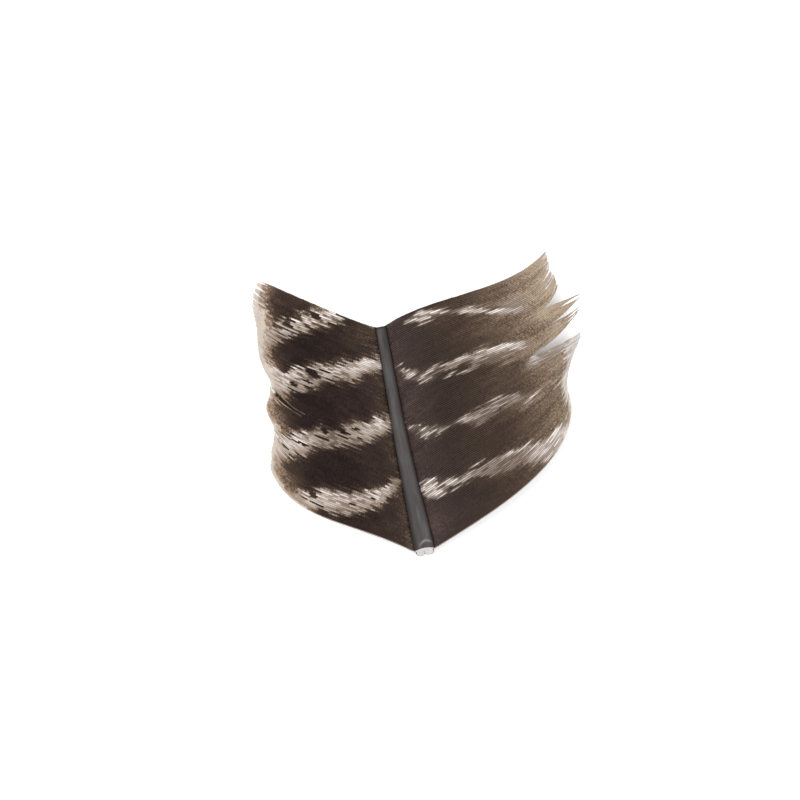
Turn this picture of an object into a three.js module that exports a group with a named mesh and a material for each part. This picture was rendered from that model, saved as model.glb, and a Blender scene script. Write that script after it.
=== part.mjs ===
// A short length cut from a barred turkey wing feather: a shaft with a vane on each side.
// Millimetres. +Y runs along the shaft towards the feather's tip, +Z is up, the upper side of
// the feather faces up and the feather lies on Z = 0.
//
// Each vane is a thin arched sheet of barbs. A place on it is given by two fractions:
// `along`, from the lowest barb (0) to the highest (1), and `out`, from a barb's root on the
// shaft (0) to its tip (1).

import * as THREE from 'three';
import { mergeGeometries, mergeVertices } from 'three/addons/utils/BufferGeometryUtils.js';

const { clamp, degToRad, lerp } = THREE.MathUtils;

// ---------------------------------------------------------------- driving dimensions

const SHAFT_LENGTH = 50.8;
const SHAFT_STEPS = 20;
// Stations along the shaft: [distance from the base, size].
const SHAFT_WIDTH = profile([[0, 4.5], [10, 3.9], [25, 3.1], [SHAFT_LENGTH, 2.3]]);
const SHAFT_DEPTH = profile([[0, 3.4], [25, 2.8], [SHAFT_LENGTH, 2.2]]);
const SHAFT_BOW = profile([[0, 0], [27, -0.45], [SHAFT_LENGTH, -0.2]]);
// The base is cut slantwise: its upper edge stands this far above its lower edge.
const BASE_CUT_LOW = -0.8;
const BASE_CUT_SLANT = 2.0;

// Right half of the shaft's section, from the top round to the slit in the underside, as
// fractions of half the width and of the depth. The vane sits in the side groove.
const GROOVE_FLOOR = 0.84;
const GROOVE_HEIGHT = 0.6;
const HALF_SECTION = [
  [0, 1], [0.4, 0.965], [0.72, 0.885], [0.94, 0.79], [1, 0.73],
  [GROOVE_FLOOR, 0.69], [GROOVE_FLOOR, 0.44], [0.9, 0.36],
  [0.82, 0.18], [0.6, 0], [0.24, 0], [0.14, 0.1], [0, 0.42],
];
const SECTION_CENTRE = [0, 0.68];

const VANE_GAP = 0.3;             // between the groove's floor and a barb's root
const ROOT_THICKNESS = 0.2;       // of a vane at its root, as a fraction of the shaft's depth
const EDGE_THICKNESS = 0.4;
const BARB_STEPS = 16;            // facets from root to tip
const RIDGE_ROWS = 56;            // rows of facets along a vane, two to a ridge
const RIDGE_HEIGHT = 0.18;        // of a ridge's crest above the vane's mean surface
const FRINGE = 0.45;              // how far a ridge's tip stands out past the outline

// Barb roots run from ROOT_LOW to ROOT_HIGH up the shaft.
const ROOT_LOW = 0.6;
const ROOT_HIGH = 50.6;

// Stations of a vane's profiles are [along, size]. `tips` gives the x and y of the barb tips,
// the angles are a barb's direction above the square to the shaft, and each reach is a Bezier
// handle's length as a fraction of the barb's straight length. `arch` is how far the vane
// rises above the straight line from root to edge, `crown` where it is highest.
// A slit opens from `apex` outwards, and moves the tips of its lower and upper lips by
// `below` and `above`. Its lips are straight where `curve` is 1, and bend more above that.
const LEFT_VANE = {
  name: 'left_vane',
  side: -1,
  colour: 0x3f3230,
  tips: profile([
    [0, -30.0, 24.5], [0.10, -29.2, 28.6], [0.20, -27.8, 33.4], [0.30, -28.6, 37.8],
    [0.42, -26.8, 43.2], [0.52, -27.9, 47.6], [0.72, -27.4, 55.6], [0.88, -27.0, 62.0],
    [1, -24.9, 66.0],
  ]),
  rootAngle: profile([[0, 39], [0.5, 42], [1, 28]]),
  tipAngle: profile([[0, 78], [0.2, 78], [0.42, 76], [0.7, 68], [0.9, 54], [1, 36]]),
  rootReach: profile([[0, 0.43], [1, 0.28]]),
  tipReach: profile([[0, 0.34], [0.3, 0.28], [1, 0.26]]),
  edgeHeight: profile([[0, 0.9], [0.25, 0.4], [0.5, 0.5], [0.75, 0.4], [1, 1.8]]),
  arch: profile([[0, 2.0], [0.5, 2.8], [1, 2.0]]),
  crown: 0.45,
  slits: [
    { at: 0.20, apex: 0.86, curve: 1.3, below: [0.2, -0.4, 0.9], above: [0.1, 0.3, 0] },
    { at: 0.42, apex: 0.70, curve: 1.3, below: [0.2, -0.4, 1.2], above: [0.3, 0.4, 0] },
  ],
};

const RIGHT_VANE = {
  name: 'right_vane',
  side: 1,
  colour: 0x4b3d38,
  tips: profile([
    [0, 37.9, 26.0], [0.15, 37.9, 31.0], [0.30, 39.3, 35.3], [0.45, 41.4, 39.4],
    [0.57, 43.2, 43.4], [0.67, 43.6, 47.4], [0.77, 42.1, 51.0], [0.88, 40.0, 55.5],
    [1, 38.7, 60.2],
  ]),
  rootAngle: profile([[0, 22], [0.5, 30], [1, 24]]),
  tipAngle: profile([[0, 80], [0.3, 55], [0.6, 34], [1, 41]]),
  rootReach: profile([[0, 0.36], [1, 0.31]]),
  tipReach: profile([[0, 0.30], [1, 0.32]]),
  edgeHeight: profile([[0, 1.2], [0.2, 0.4], [0.45, 0.4], [0.65, 1.2], [0.8, 1.6], [1, 3.0]]),
  arch: profile([[0, 2.4], [0.5, 3.6], [1, 2.8]]),
  crown: 0.5,
  slits: [
    { at: 0.57, apex: 0.68, curve: 1.1, below: [-0.1, -1.9, -0.3], above: [-0.6, 1.9, 2.0] },
    { at: 0.67, apex: 0.78, curve: 1.3, below: [-0.2, -0.6, 1.4], above: [0.3, 0.8, 0.4] },
    { at: 0.77, apex: 0.78, curve: 1.8, below: [1.8, -1.3, 0.3], above: [-2.3, 1.2, 2.0] },
  ],
};

// ---------------------------------------------------------------- helpers

// A smooth curve through stations [place, value, ...]. It returns a number, or an array
// where the stations hold several values, and stays at its end values outside the stations.
function profile(stations) {
  const places = stations.map(([place]) => place);
  const values = stations.map(([, ...value]) => value);
  const last = places.length - 1;
  const slope = (from, to, part) =>
    (values[to][part] - values[from][part]) / (places[to] - places[from]);
  const tangent = (index, part) => {
    if (index === 0) return slope(0, 1, part);
    if (index === last) return slope(last - 1, last, part);
    const before = places[index] - places[index - 1];
    const after = places[index + 1] - places[index];
    return (slope(index - 1, index, part) * after + slope(index, index + 1, part) * before)
      / (before + after);
  };
  return (where) => {
    const place = clamp(where, places[0], places[last]);
    const next = Math.max(1, places.findIndex((station) => station >= place));
    const start = next - 1;
    const span = places[next] - places[start];
    const s = (place - places[start]) / span;
    const point = values[start].map((_, part) =>
      (2 * s ** 3 - 3 * s ** 2 + 1) * values[start][part]
      + (s ** 3 - 2 * s ** 2 + s) * span * tangent(start, part)
      + (3 * s ** 2 - 2 * s ** 3) * values[next][part]
      + (s ** 3 - s ** 2) * span * tangent(next, part));
    return point.length === 1 ? point[0] : point;
  };
}

// Moves every vertex of a geometry, and leaves one closed mesh with its vertices shared.
function reshaped(geometry, place) {
  const corner = new THREE.Vector3();
  const positions = geometry.attributes.position;
  for (let index = 0; index < positions.count; index += 1) {
    corner.fromBufferAttribute(positions, index);
    positions.setXYZ(index, ...place(corner));
  }
  geometry.deleteAttribute('normal');
  geometry.deleteAttribute('uv');
  geometry.clearGroups();
  return geometry;
}

function subPart(name, geometry, colour, roughness) {
  geometry.computeVertexNormals();
  const material = new THREE.MeshStandardMaterial({ color: colour, roughness, metalness: 0 });
  const mesh = new THREE.Mesh(geometry, material);
  mesh.name = name;
  return mesh;
}

// ---------------------------------------------------------------- shaft

// The whole section, clockwise from the top as seen from the base.
const SECTION = [
  ...HALF_SECTION,
  ...HALF_SECTION.slice(1, -1).reverse().map(([x, z]) => [-x, z]),
];

function shaftGeometry() {
  const sides = SECTION.length;
  const cylinder = new THREE.CylinderGeometry(1, 1, 1, sides, SHAFT_STEPS);
  const shaft = reshaped(cylinder, ({ x, y, z }) => {
    const turn = Math.atan2(x, z) / (2 * Math.PI);
    const side = (Math.round(turn * sides) + sides) % sides;
    const [across, high] = Math.hypot(x, z) > 0.5 ? SECTION[side] : SECTION_CENTRE;
    const up = y + 0.5;
    const station = up * SHAFT_LENGTH;
    return [
      SHAFT_BOW(station) + across * SHAFT_WIDTH(station) / 2,
      lerp(BASE_CUT_LOW + BASE_CUT_SLANT * high, SHAFT_LENGTH, up),
      high * SHAFT_DEPTH(station),
    ];
  });
  return mergeVertices(shaft);
}

// ---------------------------------------------------------------- vanes

// The root of a barb, in the shaft's side groove.
function barbRoot(vane, along) {
  const station = lerp(ROOT_LOW, ROOT_HIGH, along);
  const groove = GROOVE_FLOOR * SHAFT_WIDTH(station) / 2 + VANE_GAP;
  return new THREE.Vector3(
    SHAFT_BOW(station) + vane.side * groove,
    station,
    GROOVE_HEIGHT * SHAFT_DEPTH(station),
  );
}

// The middle line of a barb, seen from above, with the vane's arch as its height.
function barbCurve(vane, along) {
  const root = barbRoot(vane, along);
  const [tipX, tipY] = vane.tips(along);
  const tip = new THREE.Vector3(tipX, tipY, vane.edgeHeight(along));
  const straight = Math.hypot(tip.x - root.x, tip.y - root.y);
  const handle = (angle, reach) => {
    const turn = degToRad(angle(along));
    return new THREE.Vector3(vane.side * Math.cos(turn), Math.sin(turn), 0)
      .multiplyScalar(reach(along) * straight);
  };
  const leaving = root.clone().add(handle(vane.rootAngle, vane.rootReach)).setZ(root.z);
  const arriving = tip.clone().sub(handle(vane.tipAngle, vane.tipReach)).setZ(tip.z);
  return new THREE.CubicBezierCurve3(root, leaving, arriving, tip);
}

// How far the slits at a lock's lower and upper side push a point of the lock.
function slitShift(lock, along, out) {
  const share = (along - lock.from) / (lock.to - lock.from);
  const shift = new THREE.Vector3();
  const open = (slit, lip, weight) => {
    if (!slit) return;
    const widening = Math.max(0, (out - slit.apex) / (1 - slit.apex)) ** slit.curve;
    shift.addScaledVector(new THREE.Vector3(...slit[lip]), weight * widening);
  };
  open(lock.lowerSlit, 'above', 1 - share);
  open(lock.upperSlit, 'below', share);
  return shift;
}

// The locks of barbs between a vane's slits, from its lowest barb to its highest.
function locksOf(vane) {
  const bounds = [undefined, ...vane.slits, undefined];
  return bounds.slice(1).map((upperSlit, index) => {
    const lowerSlit = bounds[index];
    const from = lowerSlit ? lowerSlit.at : 0;
    const to = upperSlit ? upperSlit.at : 1;
    const rows = 2 * Math.round(RIDGE_ROWS * (to - from) / 2);
    return { lowerSlit, upperSlit, from, to, rows };
  });
}

// One lock: a box whose width becomes the barbs' length and whose height follows the shaft.
// Its walls on a slit are left out up to the slit's apex, where the next lock goes on.
function lockGeometry(vane, lock) {
  const box = new THREE.BoxGeometry(1, 1, 1, BARB_STEPS, lock.rows, 1);
  const outOf = (x) => 0.5 + vane.side * x;
  const walls = [[lock.lowerSlit, -0.5], [lock.upperSlit, 0.5]].filter(([slit]) => slit);
  const joined = (corners) => walls.some(([slit, height]) =>
    corners.every(({ x, y }) => y === height && outOf(x) <= slit.apex));

  const positions = box.attributes.position;
  const kept = [];
  for (let index = 0; index < box.index.count; index += 3) {
    const face = [0, 1, 2].map((corner) => box.index.getX(index + corner));
    const corners = face.map((vertex) => new THREE.Vector3().fromBufferAttribute(positions, vertex));
    if (!joined(corners)) kept.push(...face);
  }
  box.setIndex(kept);

  const archPower = Math.log(0.5) / Math.log(vane.crown);
  return reshaped(box, ({ x, y, z }) => {
    const out = outOf(x);
    const along = lerp(lock.from, lock.to, y + 0.5);
    const crest = Math.round((y + 0.5) * lock.rows) % 2 === 1;
    const barb = barbCurve(vane, along);
    const point = barb.getPoint(out).add(slitShift(lock, along, out));
    if (out === 1) point.addScaledVector(barb.getTangent(1), crest ? FRINGE : -FRINGE);
    const rootThickness = ROOT_THICKNESS * SHAFT_DEPTH(barb.v0.y);
    const thickness = lerp(rootThickness, EDGE_THICKNESS, out);
    const ridge = (crest ? RIDGE_HEIGHT : -RIDGE_HEIGHT) * Math.min(1, 4 * out);
    point.z += vane.arch(along) * Math.sin(Math.PI * out ** archPower) + ridge;
    point.z = Math.max(point.z, thickness / 2) + z * thickness;
    return point.toArray();
  });
}

function vaneGeometry(vane) {
  const locks = locksOf(vane).map((lock) => lockGeometry(vane, lock));
  return mergeVertices(mergeGeometries(locks));
}

// ---------------------------------------------------------------- feather

const feather = new THREE.Group();
feather.add(subPart('shaft', shaftGeometry(), 0x4f4d4e, 0.45));
for (const vane of [LEFT_VANE, RIGHT_VANE]) {
  feather.add(subPart(vane.name, vaneGeometry(vane), vane.colour, 0.8));
}

// The origin is under the middle of the whole feather, on the surface it lies on.
const bounds = new THREE.Box3().setFromObject(feather);
const middle = bounds.getCenter(new THREE.Vector3());
feather.position.set(-middle.x, -middle.y, -bounds.min.z);

export default feather;
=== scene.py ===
"""A short length cut from a barred turkey wing feather, dressed round its CAD frame.

Lengths in this file are millimetres in the feather's own frame, as in the CAD source: the
shaft's base is at the origin, +Y runs along the shaft to the feather's tip and +Z is up.
`placed` turns them into metres in the row frame.
"""

import math

import bmesh
import bpy
import numpy as np
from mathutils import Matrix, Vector


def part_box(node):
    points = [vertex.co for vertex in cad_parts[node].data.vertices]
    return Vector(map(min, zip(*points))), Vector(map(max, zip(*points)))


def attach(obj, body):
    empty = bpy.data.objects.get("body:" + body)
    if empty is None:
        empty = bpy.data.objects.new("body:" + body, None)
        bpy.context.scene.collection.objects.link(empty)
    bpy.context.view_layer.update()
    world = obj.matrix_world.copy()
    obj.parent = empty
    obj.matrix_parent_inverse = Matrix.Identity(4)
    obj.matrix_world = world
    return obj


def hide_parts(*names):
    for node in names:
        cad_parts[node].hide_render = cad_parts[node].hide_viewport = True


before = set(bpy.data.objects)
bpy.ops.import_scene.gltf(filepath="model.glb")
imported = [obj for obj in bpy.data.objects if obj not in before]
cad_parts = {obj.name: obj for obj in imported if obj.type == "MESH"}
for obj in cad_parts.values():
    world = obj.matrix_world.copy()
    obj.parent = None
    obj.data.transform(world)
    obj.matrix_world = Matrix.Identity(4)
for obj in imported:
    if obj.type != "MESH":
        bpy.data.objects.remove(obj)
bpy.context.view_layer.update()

MM = 0.001
rng = np.random.default_rng(7)


# ---------------- profiles and curves

def profile(stations):
    """A smooth curve through [place, value, ...]. It gives one number or an array a place."""
    places = np.array([station[0] for station in stations], float)
    values = np.array([station[1:] for station in stations], float)
    spans = np.diff(places)[:, None]
    slopes = np.diff(values, axis=0) / spans
    tangents = np.concatenate([slopes[:1], slopes[-1:]])
    if len(stations) > 2:
        middle = (slopes[:-1] * spans[1:] + slopes[1:] * spans[:-1]) / (spans[1:] + spans[:-1])
        tangents = np.concatenate([slopes[:1], middle, slopes[-1:]])

    def curve(where):
        place = np.clip(np.asarray(where, float), places[0], places[-1])
        start = np.clip(np.searchsorted(places, place) - 1, 0, len(places) - 2)
        span = spans[start]
        s = ((place - places[start]) / span[..., 0])[..., None]
        point = (
            (2 * s**3 - 3 * s**2 + 1) * values[start]
            + (s**3 - 2 * s**2 + s) * span * tangents[start]
            + (3 * s**2 - 2 * s**3) * values[start + 1]
            + (s**3 - s**2) * span * tangents[start + 1]
        )
        return point[..., 0] if point.shape[-1] == 1 else point

    return curve


def smooth(low, high, value):
    """0 below low, 1 above high, and an S between them."""
    share = np.clip((np.asarray(value, float) - low) / (high - low), 0, 1)
    return share * share * (3 - 2 * share)


def unit(vectors):
    return vectors / np.maximum(np.linalg.norm(vectors, axis=-1, keepdims=True), 1e-9)


# ---------------- driving dimensions

SHAFT_LENGTH = 50.8
SHAFT_WIDTH = profile([[0, 4.5], [10, 3.9], [25, 3.1], [SHAFT_LENGTH, 2.3]])
SHAFT_DEPTH = profile([[0, 3.4], [25, 2.8], [SHAFT_LENGTH, 2.2]])
SHAFT_BOW = profile([[0, 0], [27, -0.45], [SHAFT_LENGTH, -0.2]])
BASE_CUT_LOW = -0.8           # y of the base cut at the shaft's underside
BASE_CUT_SLANT = 2.0          # how much higher its y is at the shaft's top
GROOVE_FLOOR = 0.84           # of the grooves that hold the vanes, as a share of half the width
GROOVE_HEIGHT = 0.6           # as a share of the depth
# The right half of the shaft's section from the top: shares of [half the width, the depth].
HALF_SECTION = [
    [0, 1], [0.4, 0.965], [0.72, 0.885], [0.94, 0.79], [1, 0.73],
    [GROOVE_FLOOR, 0.69], [GROOVE_FLOOR, 0.44], [0.9, 0.36],
    [0.82, 0.18], [0.6, 0], [0.24, 0], [0.14, 0.1], [0, 0.42],
]
SECTION_CENTRE = 0.68         # height of its middle, as a share of the depth

VANE_GAP = 0.3                # from a groove's floor to the vane's root
ROOT_LOW = 0.6                # how far up the shaft the lowest barb's root is
ROOT_HIGH = 50.6

# The vanes. Stations are [along, size], with along from the lowest barb, 0, to the highest, 1.
# These are as in the CAD source:
# tips: x and y of the barbs' ends
# root_angle, tip_angle: a barb's direction at its two ends, in degrees from square to the shaft
# root_reach, tip_reach: how far it holds them, in distances from root to tip
# edge_height: height of the tips
# arch, crown: how far a barb rises above a straight line, and where on it that is most
# slits: which barb each is at, how far out it opens (apex), how much its lips bend (curve) and
#     how far the tips of the lips below and above it move
# These are for the looks:
# largest_tuft: the most barbs whose tips cling together
# fray: how far the tips part into tufts
# broken: how much larger dark dashes take from a bar, [distance from the shaft, share]
# broken_up: the same by [height up the shaft, share], and the two are multiplied
# comb: how much single dark barbs take from a bar, [distance from the shaft, share]
# strays: (barb, from and to as shares of its length, how pale or, below 0, how dark it is there)
# cover: added to the half width of a slit's lips in their outer third, so that they meet
# edge_steps: how many steps at the lowest barb's end belong to the vane's outer edge
# rim: [height up the shaft, width of the pale rim]
LEFT_VANE = {
    "side": -1,
    "tips": profile([
        [0, -30.0, 24.5], [0.10, -29.2, 28.6], [0.20, -27.8, 33.4], [0.30, -28.6, 37.8],
        [0.42, -26.8, 43.2], [0.52, -27.9, 47.6], [0.72, -27.4, 55.6], [0.88, -27.0, 62.0],
        [1, -24.9, 66.0],
    ]),
    "root_angle": profile([[0, 39], [0.5, 42], [1, 28]]),
    "tip_angle": profile([[0, 78], [0.2, 78], [0.42, 76], [0.7, 68], [0.9, 54], [1, 36]]),
    "root_reach": profile([[0, 0.43], [1, 0.28]]),
    "tip_reach": profile([[0, 0.34], [0.3, 0.28], [1, 0.26]]),
    "edge_height": profile([[0, 0.9], [0.25, 0.4], [0.5, 0.5], [0.75, 0.4], [1, 1.8]]),
    "arch": profile([[0, 2.0], [0.5, 2.8], [1, 2.0]]),
    "crown": 0.45,
    "largest_tuft": 4,
    "fray": profile([[0, 0.1], [0.7, 0.15], [0.9, 0.4], [0.97, 0.8], [1, 0.8]]),
    "broken": profile([[0, 0.0], [8, 0.2], [16, 0.5], [24, 0.5], [30, 0.4]]),
    "broken_up": profile([[16, 0], [42, 1], [50, 1], [54, 1.8]]),
    "comb": profile([[0, 0.3], [6, 0.35], [10, 0.5], [17, 0.45], [22, 0.3], [30, 0.4]]),
    "strays": [
        (48, 0.62, 0.95, -1), (47, 0.64, 0.9, 0.14), (49, 0.62, 0.84, 0.18), (23, 0.8, 0.94, -1),
    ],
    "cover": 0.3,
    "edge_steps": 26,
    "rim": profile([
        [12, 0], [18, 0], [21, 0.3], [23, 0.6], [26, 0.6], [30, 1.7], [33, 1.0], [36, 0.2],
        [40, 0.6], [43, 1.7], [47, 1.8], [50, 1.5], [53, 1.9], [57, 2.9], [60, 2.2], [66, 1.7],
    ]),
    "slits": [
        {"at": 0.20, "apex": 0.86, "curve": 1.3, "below": (0.2, -0.4, 0.9), "above": (0.1, 0.3, 0)},
        {"at": 0.42, "apex": 0.70, "curve": 1.3, "below": (0.2, -0.4, 1.2), "above": (0.3, 0.4, 0)},
    ],
}
RIGHT_VANE = {
    "side": 1,
    "tips": profile([
        [0, 37.9, 26.0], [0.15, 37.9, 31.0], [0.30, 39.3, 35.3], [0.45, 41.4, 39.4],
        [0.57, 43.2, 43.4], [0.67, 43.6, 47.4], [0.77, 42.1, 51.0], [0.88, 40.0, 55.5],
        [1, 38.7, 60.2],
    ]),
    "root_angle": profile([[0, 22], [0.5, 30], [1, 24]]),
    "tip_angle": profile([[0, 80], [0.3, 55], [0.6, 34], [1, 41]]),
    "root_reach": profile([[0, 0.36], [1, 0.31]]),
    "tip_reach": profile([[0, 0.30], [1, 0.32]]),
    "edge_height": profile(
        [[0, 1.2], [0.2, 0.4], [0.45, 0.4], [0.65, 1.2], [0.8, 1.6], [1, 3.0]]),
    "arch": profile([[0, 2.4], [0.5, 3.6], [1, 2.8]]),
    "crown": 0.5,
    "largest_tuft": 7,
    "fray": profile([
        [0, 0.1], [0.5, 0.2], [0.6, 0.7], [0.75, 0.8], [0.8, 0.2], [0.88, 0.4], [0.93, 0.1],
        [1, 0.1],
    ]),
    "broken": profile([[0, 0.7], [10, 0.6], [20, 0.3], [40, 0.2]]),
    "broken_up": profile([[0, 1], [60, 1]]),
    "comb": profile([[0, 0.5], [9, 0.6], [14, 0.5], [28, 0.35], [40, 0.25]]),
    "strays": [
        (96, 0.9, 1.1, 1), (97, 0.93, 1.1, 0.6), (58, 0.9, 1.1, 0.9), (60, 0.8, 0.93, 0.7),
        (74, 0.86, 1.1, 0.8), (87, 0.9, 1.1, 0.8),
    ],
    "cover": 0.0,
    "edge_steps": 14,
    "rim": profile([
        [13, 0.1], [15, 0.4], [18, 1.1], [20.5, 0.5], [22.5, 0.1], [26, 0.2], [29, 0.8],
        [31.5, 1], [34, 0.3], [36, 0.7], [38, 1.7], [40, 1.7], [43, 1.3], [46, 0.1], [51, 0.1],
        [53, 0.6], [57, 0.8], [60, 0.1],
    ]),
    "slits": [
        {"at": 0.57, "apex": 0.68, "curve": 1.1, "below": (-0.1, -1.9, -0.3),
         "above": (-0.6, 1.9, 2.0)},
        {"at": 0.67, "apex": 0.78, "curve": 1.3, "below": (-0.2, -0.6, 1.4),
         "above": (0.3, 0.8, 0.4)},
        {"at": 0.77, "apex": 0.78, "curve": 1.8, "below": (1.8, -1.3, 0.3),
         "above": (-2.3, 1.2, 2.0)},
    ],
}

# The pale bars: stations are [distance from the shaft, height up the shaft, half width,
# strength], from the shaft outwards.
LEFT_BARS = [
    [[7.5, 54.2, 0.6, 0.8], [9.5, 54.8, 1.3, 1], [12, 55.2, 1.9, 1], [15, 55, 1.9, 0.95],
     [18, 54.9, 1.9, 0.9], [21, 54.1, 2, 0.65], [25, 52.8, 1.8, 0.6]],
    [[1.5, 42.4, 1.3, 0.9], [5, 42.7, 1.5, 0.85], [8, 42.5, 2.1, 0.8], [12, 42.9, 1.9, 0.75],
     [16, 43, 2.3, 0.55], [20, 42.7, 2.8, 0.75], [26, 43.2, 3.2, 0.95]],
    [[1.5, 29.2, 1, 0.7], [4, 29.2, 1.5, 0.85], [6.5, 28.9, 2.1, 0.8], [9, 28.7, 2.4, 0.6],
     [14, 28.6, 2.1, 0.45], [18, 29.2, 2.1, 0.52], [22, 28.8, 2.4, 0.85], [26, 29.1, 2.6, 1]],
    [[2, 16.2, 0.7, 0.35], [3.6, 15.9, 1.5, 0.5], [5, 14.8, 1.5, 0.75], [6.5, 14.2, 1.5, 0.85],
     [9, 13.9, 1.8, 0.75], [13, 13.9, 2.3, 0.68], [16, 14.4, 2.5, 0.7], [20, 15.6, 2.4, 0.75],
     [22.5, 16.2, 1.7, 0.8], [24.5, 16.6, 1.3, 0.5], [27, 17.6, 0.9, 0.2]],
]
RIGHT_BARS = [
    [[5.5, 50.7, 0.3, 0.5], [8, 50.9, 1, 0.85], [11.5, 51.2, 1.1, 1], [14, 51.3, 0.6, 0.7],
     [16, 51, 0.4, 0.6], [19, 50.4, 0.7, 0.85], [22, 49.8, 0.6, 0.8], [25, 49.1, 0.6, 0.9],
     [28, 48.9, 0.8, 0.75], [31, 48.3, 0.9, 0.5], [34, 47.3, 0.6, 0.2], [36, 46.6, 0.2, 0]],
    [[24, 50.4, 0.2, 0], [27, 50.2, 0.7, 0.4], [31, 50.4, 0.8, 0.4], [34, 50.8, 0.3, 0]],
    [[2, 41.3, 0.4, 0.3], [4, 39.6, 0.9, 0.7], [6, 38.6, 1.2, 0.7], [8, 38.2, 1.3, 0.62],
     [11, 38.8, 0.9, 0.55], [14, 39.2, 0.7, 0.55], [17, 40, 0.5, 0.65], [20, 40.4, 0.6, 0.9],
     [25, 40.8, 0.7, 1], [30, 40.5, 0.6, 0.85], [33, 40.3, 0.3, 0]],
    [[15, 38.4, 0.2, 0], [18, 38.8, 0.6, 0.35], [23, 39.1, 0.8, 0.45], [28, 39.1, 0.7, 0.35],
     [32, 39.2, 0.3, 0]],
    [[11, 36.9, 0.2, 0], [13, 37.2, 0.4, 0.7], [16, 37.7, 0.4, 0.6], [19, 38.2, 0.3, 0.5],
     [21, 38.6, 0.2, 0]],
    [[29, 35.6, 0.3, 0], [31, 36.6, 1, 0.55], [34, 37.6, 1.3, 0.7], [37, 38.6, 1.6, 0.5],
     [40, 40.5, 1.6, 0.8]],
    [[1.5, 28.8, 0.4, 0.5], [3, 27.5, 0.7, 0.85], [5, 26.1, 1, 0.7], [8, 25.9, 0.9, 0.65],
     [10.5, 26, 0.5, 0.4], [12, 26.2, 0.4, 0.35], [14, 26.9, 0.8, 0.6], [17, 27.3, 1.1, 0.5],
     [20, 28.2, 1.3, 0.45], [23, 29.1, 1.3, 0.55], [26, 29.6, 1.1, 0.5], [28, 29.6, 0.6, 0.3],
     [29, 29.6, 0.2, 0]],
    [[19, 29.2, 0.2, 0], [21.5, 29.8, 0.3, 0.65], [25, 30.3, 0.4, 0.8], [27, 30.4, 0.3, 0.6],
     [28.5, 30.2, 0.1, 0]],
    [[27, 27.3, 0.2, 0], [29, 28.4, 0.3, 0.7], [32, 30.2, 0.4, 0.6], [34, 31.8, 0.3, 0]],
    [[1.5, 14.6, 0.5, 0.8], [3, 13.7, 1.7, 1], [5, 13.3, 2, 1], [8, 13.8, 1.6, 0.9],
     [11, 14.1, 0.9, 0.65], [15, 15.2, 0.9, 0.42], [20, 15.8, 1.4, 0.4], [25, 16.8, 1.6, 0.42],
     [29, 16.9, 2.1, 0.75], [32, 17.9, 2.4, 1], [35, 20, 1.8, 0.8], [36.5, 21.8, 1, 0.3],
     [38, 24, 0.5, 0]],
    [[13, 16.2, 0.2, 0], [14.5, 16.7, 0.4, 0.6], [17, 17.2, 0.4, 0.6], [20, 17.3, 0.3, 0.5],
     [23, 17.8, 0.4, 0.65], [26, 18.4, 0.5, 0.75], [29, 18.9, 0.5, 0.7], [31, 19.8, 0.3, 0]],
]

# Dark dashes along single barbs that break the left vane's bars: (distance from the shaft,
# height up the shaft, half length in mm, half width in barbs, how much they darken).
LEFT_DASHES = [
    (8.3, 54.6, 1.0, 0.8, 1.0), (13.2, 55.7, 1.2, 1.2, 1.0), (19.2, 55.9, 0.9, 0.8, 1.0),
    (19.8, 55.0, 1.0, 0.8, 1.0), (16.4, 43.3, 1.3, 2.2, 1.0), (14.0, 43.5, 0.8, 0.6, 1.0),
    (17.9, 42.0, 0.9, 1.0, 1.0), (21.4, 40.9, 1.0, 0.8, 1.0), (21.1, 42.2, 0.9, 1.2, 0.9),
    (18.1, 40.9, 0.8, 0.6, 1.0), (22.9, 45.7, 1.3, 2.2, 0.8), (12.5, 28.6, 0.9, 0.6, 1.0),
    (17.4, 29.3, 1.4, 0.5, 0.7), (15.9, 30.6, 0.6, 1.4, 1.0), (23.0, 29.3, 0.9, 0.6, 0.8),
    (21.3, 29.0, 1.1, 1.0, 0.9), (24.9, 31.1, 1.1, 0.6, 0.9), (26.2, 29.4, 1.3, 0.6, 0.8),
    (24.3, 26.4, 0.7, 0.8, 0.9), (23.1, 27.0, 0.4, 0.8, 0.9), (12.0, 29.8, 0.9, 1.2, 1.0),
    (8.9, 27.4, 0.7, 0.6, 0.8), (8.7, 29.6, 0.6, 0.6, 0.8), (9.6, 29.8, 0.4, 0.6, 0.8),
    (10.9, 28.8, 0.6, 0.6, 0.9), (21.6, 17.0, 0.8, 1.2, 1.0), (21.4, 15.2, 1.3, 0.7, 0.9),
    (20.0, 13.4, 0.6, 0.7, 0.8), (23.6, 16.8, 0.6, 0.8, 0.9), (8.8, 14.1, 0.4, 0.6, 0.7),
    (13.5, 13.5, 0.7, 0.7, 0.8),
]

# How light the brown is, from 0, nearly black, to 1, grey-brown: [distance from the shaft].
LEFT_BROWN = profile([[0, 0.42], [3, 0.34], [6, 0.22], [10, 0.13], [15, 0.05], [20, 0.06],
                      [23, 0.16], [28, 0.28]])
RIGHT_BROWN = profile([[0, 0.42], [3, 0.4], [6, 0.35], [10, 0.26], [15, 0.28], [20, 0.37],
                       [25, 0.47], [29, 0.55], [32, 0.62], [35, 0.72], [38, 0.82]])


# What follows takes a place's distance from the shaft, height up it and inset from the
# vane's outer edge, in mm.

def left_tone(reach, height, inset):
    top = 0.25 * smooth(54, 60, height) + 0.1 * smooth(44, 50, height) * smooth(12, 4, reach)
    outer = smooth(6, 0.5, inset) * (0.5 - 0.1 * smooth(50, 56, height)
                                     - 0.2 * smooth(23, 17, height))
    base = 0.08 * smooth(18, 6, height) + 0.22 * smooth(6, 1, height) * smooth(6, 1.5, reach)
    return LEFT_BROWN(reach) + top + outer + base


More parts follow.
